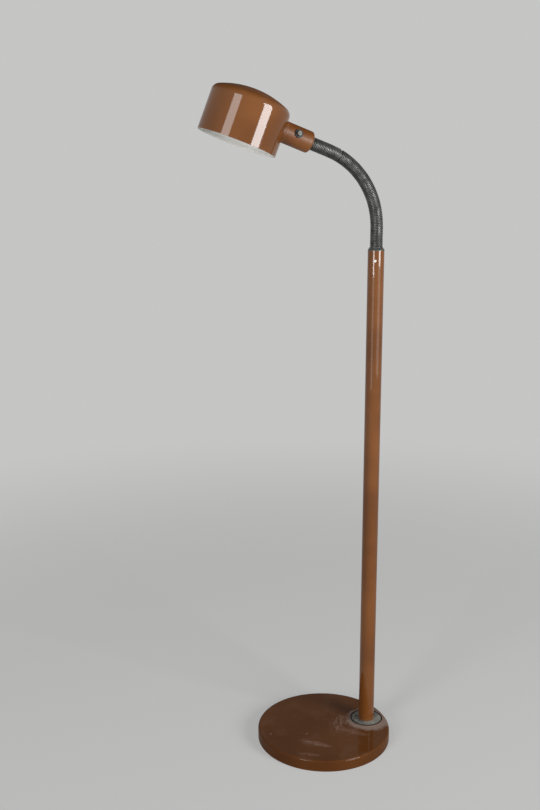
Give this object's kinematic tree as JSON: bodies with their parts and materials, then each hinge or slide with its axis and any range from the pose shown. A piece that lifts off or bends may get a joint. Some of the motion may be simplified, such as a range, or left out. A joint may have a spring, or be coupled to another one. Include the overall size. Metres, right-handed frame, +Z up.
{
  "type": "gooseneck reading floor lamp",
  "caption": "Floor lamp with a weighted round base, an off-centre straight pole, a ridged gooseneck and a cup shade on a short collar with a push switch.",
  "frame": {"origin": "centre of the base's underside, on the floor", "axes": "+Z up along the pole, +X from the middle of the base to the pole, the shade hangs over -X, the push switch faces -Y"},
  "size_m": [0.3861, 0.274, 1.3208],
  "materials": {
    "aluminium": "satin",
    "black_nickel": "satin",
    "black_plastic": "satin",
    "black_rubber": "matte",
    "brass": "satin",
    "brown_enamel": "gloss",
    "cast_iron": "rough",
    "felt": "matte",
    "lead_jacket": "matte",
    "opal_glass": "satin",
    "porcelain": "gloss",
    "rough_iron": "rough",
    "solder": "satin",
    "steel_screw": "satin",
    "switch_metal": "satin",
    "white_enamel": "gloss",
    "zinc_plate": "satin"
  },
  "bodies": {
    "stand": {"base_cover": "brown_enamel", "base_weight": "cast_iron", "base_plate": "zinc_plate", "base_felt": "felt", "plate_screws": "zinc_plate", "cord_grommet": "black_rubber", "foot_flange": "rough_iron", "foot_plug": "zinc_plate", "foot_nipple": "zinc_plate", "foot_washer": "zinc_plate", "foot_nut": "zinc_plate", "pole_tube": "brown_enamel", "pole_set_screw": "steel_screw", "pole_lead": "lead_jacket", "neck_ferrule": "black_nickel", "neck_lead": "lead_jacket"},
    "neck_link_01": {"neck_link_01": "black_nickel"},
    "neck_link_02": {"neck_link_02": "black_nickel"},
    "neck_link_03": {"neck_link_03": "black_nickel"},
    "neck_link_04": {"neck_link_04": "black_nickel"},
    "neck_link_05": {"neck_link_05": "black_nickel"},
    "neck_link_06": {"neck_link_06": "black_nickel"},
    "neck_link_07": {"neck_link_07": "black_nickel"},
    "neck_link_08": {"neck_link_08": "black_nickel"},
    "neck_link_09": {"neck_link_09": "black_nickel"},
    "neck_link_10": {"neck_link_10": "black_nickel"},
    "neck_link_11": {"neck_link_11": "black_nickel"},
    "neck_link_12": {"neck_link_12": "black_nickel"},
    "head": {"neck_end": "black_nickel", "neck_nut": "zinc_plate", "collar": "brown_enamel", "shade": "brown_enamel", "shade_washer": "white_enamel", "shade_ring": "brass", "lampholder": "porcelain", "lampholder_shell": "brass", "lampholder_contact": "brass", "head_nipple": "zinc_plate", "lampholder_nut": "zinc_plate", "head_lead": "lead_jacket", "bulb_tip": "solder", "bulb_cap": "aluminium", "bulb_glass": "opal_glass", "switch_body": "black_plastic", "switch_bezel": "black_plastic"},
    "switch_button": {"switch_button": "switch_metal"}
  },
  "joints": [
    {"name": "neck_bend", "type": "hinge", "parent": "stand", "child": "neck_link_01", "pos_m": [0.096, 0, 1.01812], "axis": [0, -1, 0], "range_deg": [-10, 10], "deforming": ["neck_lead"]},
    {"name": "neck_sway", "type": "hinge", "parent": "neck_link_01", "child": "neck_link_02", "pos_m": [0.096, 0, 1.03845], "axis": [1, 0, 0], "range_deg": [-10, 10]},
    {"name": "neck_bend_2", "type": "hinge", "parent": "neck_link_02", "child": "neck_link_03", "pos_m": [0.096, 0, 1.05877], "axis": [0, -1, 0], "range_deg": [-10, 10]},
    {"name": "neck_sway_2", "type": "hinge", "parent": "neck_link_03", "child": "neck_link_04", "pos_m": [0.09465, 0, 1.07903], "axis": [0.9912, 0, 0.1324], "range_deg": [-10, 10]},
    {"name": "neck_bend_3", "type": "hinge", "parent": "neck_link_04", "child": "neck_link_05", "pos_m": [0.09063, 0, 1.09894], "axis": [0, -1, 0], "range_deg": [-10, 10]},
    {"name": "neck_sway_3", "type": "hinge", "parent": "neck_link_05", "child": "neck_link_06", "pos_m": [0.08401, 0, 1.11814], "axis": [0.9216, 0, 0.3881], "range_deg": [-10, 10]},
    {"name": "neck_bend_4", "type": "hinge", "parent": "neck_link_06", "child": "neck_link_07", "pos_m": [0.0749, 0, 1.1363], "axis": [0, -1, 0], "range_deg": [-10, 10]},
    {"name": "neck_sway_4", "type": "hinge", "parent": "neck_link_07", "child": "neck_link_08", "pos_m": [0.06347, 0, 1.15308], "axis": [0.7874, 0, 0.6164], "range_deg": [-10, 10]},
    {"name": "neck_bend_5", "type": "hinge", "parent": "neck_link_08", "child": "neck_link_09", "pos_m": [0.04992, 0, 1.16821], "axis": [0, -1, 0], "range_deg": [-10, 10]},
    {"name": "neck_sway_5", "type": "hinge", "parent": "neck_link_09", "child": "neck_link_10", "pos_m": [0.03448, 0, 1.18141], "axis": [0.5979, 0, 0.8015], "range_deg": [-10, 10]},
    {"name": "neck_bend_6", "type": "hinge", "parent": "neck_link_10", "child": "neck_link_11", "pos_m": [0.01743, 0, 1.19244], "axis": [0, -1, 0], "range_deg": [-10, 10]},
    {"name": "neck_sway_6", "type": "hinge", "parent": "neck_link_11", "child": "neck_link_12", "pos_m": [-0.00093, 0, 1.20112], "axis": [0.3665, 0, 0.9304], "range_deg": [-10, 10]},
    {"name": "neck_bend_7", "type": "hinge", "parent": "neck_link_12", "child": "head", "pos_m": [-0.01983, 0, 1.20857], "axis": [0, -1, 0], "range_deg": [-10, 10]},
    {"name": "switch_press", "type": "slide", "parent": "head", "child": "switch_button", "axis": [-0.0949, 0.9659, -0.2408], "range_m": [0, 0.003], "stiffness_N_per_m": 400, "springref_m": -0.004}
  ]
}
